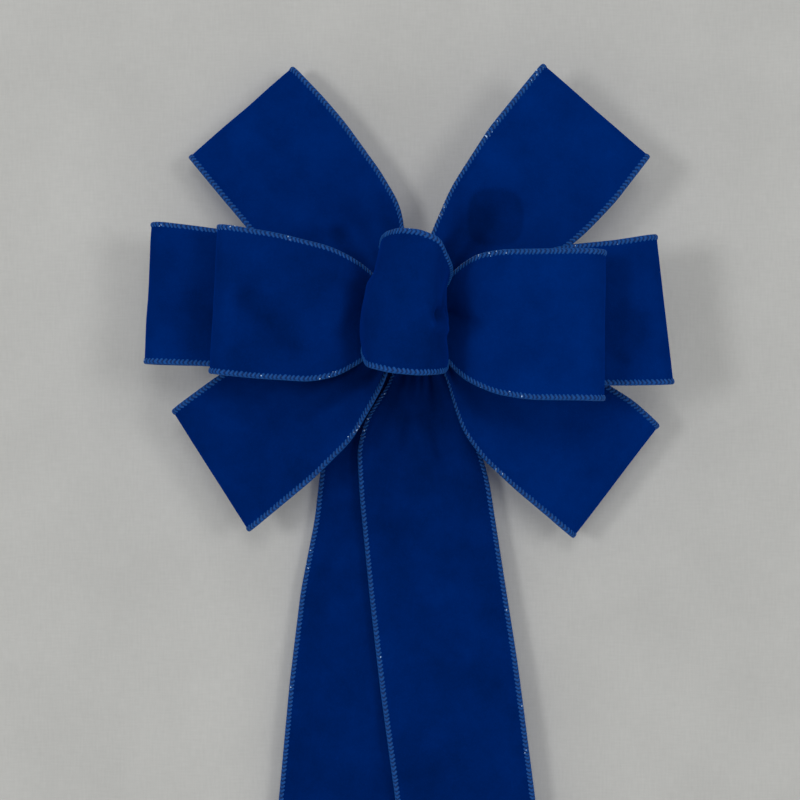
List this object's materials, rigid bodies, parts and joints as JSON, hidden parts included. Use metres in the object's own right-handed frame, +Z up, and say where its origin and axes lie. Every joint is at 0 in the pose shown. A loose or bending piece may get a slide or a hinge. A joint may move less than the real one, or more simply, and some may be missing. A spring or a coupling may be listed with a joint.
{
  "type": "gift bow",
  "caption": "Pre-made velvet gift bow: flat-fanned outer loops round a standing centre loop, wired edges, long hanging tails and a twist-tie hanging loop.",
  "frame": {"origin": "centre of the twist-tie hanging loop, at the wall", "axes": "+Z up along the hanging tails' opposite, +X to the viewer's right, the bow faces -Y and the wall is the plane Y = 0"},
  "size_m": [0.2345, 0.1052, 0.4583],
  "materials": {
    "tail_gather": "royal blue velvet with a dull satin back",
    "lower_diagonal_gather": "royal blue velvet with a dull satin back",
    "upper_diagonal_gather": "royal blue velvet with a dull satin back",
    "rear_gather": "royal blue velvet with a dull satin back",
    "front_gather": "royal blue velvet with a dull satin back",
    "centre_gather": "royal blue velvet with a dull satin back",
    "tie_band": "flat plastic-coated twist tie",
    "tie_shank": "flat plastic-coated twist tie",
    "hanging_loop": "flat plastic-coated twist tie",
    "upper_left_ribbon": "royal blue velvet with a dull satin back",
    "upper_left_upper_edging": "overlocked thread, light blue with a few metallic strands",
    "upper_left_lower_edging": "overlocked thread, light blue with a few metallic strands",
    "upper_left_edge_wires": "thin bright florist wire",
    "lower_right_ribbon": "royal blue velvet with a dull satin back",
    "lower_right_upper_edging": "overlocked thread, light blue with a few metallic strands",
    "lower_right_lower_edging": "overlocked thread, light blue with a few metallic strands",
    "lower_right_edge_wires": "thin bright florist wire",
    "upper_right_ribbon": "royal blue velvet with a dull satin back",
    "upper_right_upper_edging": "overlocked thread, light blue with a few metallic strands",
    "upper_right_lower_edging": "overlocked thread, light blue with a few metallic strands",
    "upper_right_edge_wires": "thin bright florist wire",
    "lower_left_ribbon": "royal blue velvet with a dull satin back",
    "lower_left_upper_edging": "overlocked thread, light blue with a few metallic strands",
    "lower_left_lower_edging": "overlocked thread, light blue with a few metallic strands",
    "lower_left_edge_wires": "thin bright florist wire",
    "rear_left_ribbon": "royal blue velvet with a dull satin back",
    "rear_left_upper_edging": "overlocked thread, light blue with a few metallic strands",
    "rear_left_lower_edging": "overlocked thread, light blue with a few metallic strands",
    "rear_left_edge_wires": "thin bright florist wire",
    "rear_right_ribbon": "royal blue velvet with a dull satin back",
    "rear_right_upper_edging": "overlocked thread, light blue with a few metallic strands",
    "rear_right_lower_edging": "overlocked thread, light blue with a few metallic strands",
    "rear_right_edge_wires": "thin bright florist wire",
    "front_left_ribbon": "royal blue velvet with a dull satin back",
    "front_left_upper_edging": "overlocked thread, light blue with a few metallic strands",
    "front_left_lower_edging": "overlocked thread, light blue with a few metallic strands",
    "front_left_edge_wires": "thin bright florist wire",
    "front_right_ribbon": "royal blue velvet with a dull satin back",
    "front_right_upper_edging": "overlocked thread, light blue with a few metallic strands",
    "front_right_lower_edging": "overlocked thread, light blue with a few metallic strands",
    "front_right_edge_wires": "thin bright florist wire",
    "centre_loop_ribbon": "royal blue velvet with a dull satin back",
    "centre_loop_upper_edging": "overlocked thread, light blue with a few metallic strands",
    "centre_loop_lower_edging": "overlocked thread, light blue with a few metallic strands",
    "centre_loop_edge_wires": "thin bright florist wire",
    "left_tail_ribbon": "royal blue velvet with a dull satin back",
    "left_tail_left_edging": "overlocked thread, light blue with a few metallic strands",
    "left_tail_right_edging": "overlocked thread, light blue with a few metallic strands",
    "left_tail_edge_wires": "thin bright florist wire",
    "right_tail_ribbon": "royal blue velvet with a dull satin back",
    "right_tail_left_edging": "overlocked thread, light blue with a few metallic strands",
    "right_tail_right_edging": "overlocked thread, light blue with a few metallic strands",
    "right_tail_edge_wires": "thin bright florist wire"
  },
  "bodies": {
    "throat_bundle": {"tail_gather": "tail_gather", "lower_diagonal_gather": "lower_diagonal_gather", "upper_diagonal_gather": "upper_diagonal_gather", "rear_gather": "rear_gather", "front_gather": "front_gather", "centre_gather": "centre_gather", "tie_band": "tie_band", "tie_shank": "tie_shank", "hanging_loop": "hanging_loop"},
    "upper_left_loop": {"upper_left_ribbon": "upper_left_ribbon", "upper_left_upper_edging": "upper_left_upper_edging", "upper_left_lower_edging": "upper_left_lower_edging", "upper_left_edge_wires": "upper_left_edge_wires"},
    "lower_right_loop": {"lower_right_ribbon": "lower_right_ribbon", "lower_right_upper_edging": "lower_right_upper_edging", "lower_right_lower_edging": "lower_right_lower_edging", "lower_right_edge_wires": "lower_right_edge_wires"},
    "upper_right_loop": {"upper_right_ribbon": "upper_right_ribbon", "upper_right_upper_edging": "upper_right_upper_edging", "upper_right_lower_edging": "upper_right_lower_edging", "upper_right_edge_wires": "upper_right_edge_wires"},
    "lower_left_loop": {"lower_left_ribbon": "lower_left_ribbon", "lower_left_upper_edging": "lower_left_upper_edging", "lower_left_lower_edging": "lower_left_lower_edging", "lower_left_edge_wires": "lower_left_edge_wires"},
    "rear_left_loop": {"rear_left_ribbon": "rear_left_ribbon", "rear_left_upper_edging": "rear_left_upper_edging", "rear_left_lower_edging": "rear_left_lower_edging", "rear_left_edge_wires": "rear_left_edge_wires"},
    "rear_right_loop": {"rear_right_ribbon": "rear_right_ribbon", "rear_right_upper_edging": "rear_right_upper_edging", "rear_right_lower_edging": "rear_right_lower_edging", "rear_right_edge_wires": "rear_right_edge_wires"},
    "front_left_loop": {"front_left_ribbon": "front_left_ribbon", "front_left_upper_edging": "front_left_upper_edging", "front_left_lower_edging": "front_left_lower_edging", "front_left_edge_wires": "front_left_edge_wires"},
    "front_right_loop": {"front_right_ribbon": "front_right_ribbon", "front_right_upper_edging": "front_right_upper_edging", "front_right_lower_edging": "front_right_lower_edging", "front_right_edge_wires": "front_right_edge_wires"},
    "centre_loop": {"centre_loop_ribbon": "centre_loop_ribbon", "centre_loop_upper_edging": "centre_loop_upper_edging", "centre_loop_lower_edging": "centre_loop_lower_edging", "centre_loop_edge_wires": "centre_loop_edge_wires"},
    "left_tail": {"left_tail_ribbon": "left_tail_ribbon", "left_tail_left_edging": "left_tail_left_edging", "left_tail_right_edging": "left_tail_right_edging", "left_tail_edge_wires": "left_tail_edge_wires"},
    "right_tail": {"right_tail_ribbon": "right_tail_ribbon", "right_tail_left_edging": "right_tail_left_edging", "right_tail_right_edging": "right_tail_right_edging", "right_tail_edge_wires": "right_tail_edge_wires"}
  },
  "joints": [
    {"name": "upper_left_fan", "type": "hinge", "parent": "throat_bundle", "child": "upper_left_loop", "pos_m": [0, 0, -0.016], "axis": [0, -1, 0], "range_deg": [-12, 12]},
    {"name": "lower_right_fan", "type": "hinge", "parent": "throat_bundle", "child": "lower_right_loop", "pos_m": [0, 0, -0.016], "axis": [0, -1, 0], "range_deg": [-12, 12]},
    {"name": "upper_right_fan", "type": "hinge", "parent": "throat_bundle", "child": "upper_right_loop", "pos_m": [0, 0, -0.016], "axis": [0, -1, 0], "range_deg": [-12, 12]},
    {"name": "lower_left_fan", "type": "hinge", "parent": "throat_bundle", "child": "lower_left_loop", "pos_m": [0, 0, -0.016], "axis": [0, -1, 0], "range_deg": [-12, 12]},
    {"name": "rear_left_fan", "type": "hinge", "parent": "throat_bundle", "child": "rear_left_loop", "pos_m": [0, 0, -0.016], "axis": [0, -1, 0], "range_deg": [-10, 10]},
    {"name": "rear_right_fan", "type": "hinge", "parent": "throat_bundle", "child": "rear_right_loop", "pos_m": [0, 0, -0.016], "axis": [0, -1, 0], "range_deg": [-10, 10]},
    {"name": "front_left_fan", "type": "hinge", "parent": "throat_bundle", "child": "front_left_loop", "pos_m": [0, 0, -0.016], "axis": [0, -1, 0], "range_deg": [-10, 10]},
    {"name": "front_right_fan", "type": "hinge", "parent": "throat_bundle", "child": "front_right_loop", "pos_m": [0, 0, -0.016], "axis": [0, -1, 0], "range_deg": [-10, 10]},
    {"name": "centre_loop_swivel", "type": "hinge", "parent": "throat_bundle", "child": "centre_loop", "pos_m": [0, 0, -0.016], "axis": [0, -1, 0], "range_deg": [-10, 10]},
    {"name": "left_tail_swing", "type": "hinge", "parent": "throat_bundle", "child": "left_tail", "pos_m": [0, 0, -0.016], "axis": [0, -1, 0], "range_deg": [-8, 8]},
    {"name": "right_tail_swing", "type": "hinge", "parent": "throat_bundle", "child": "right_tail", "pos_m": [0, 0, -0.016], "axis": [0, -1, 0], "range_deg": [-8, 8]}
  ]
}
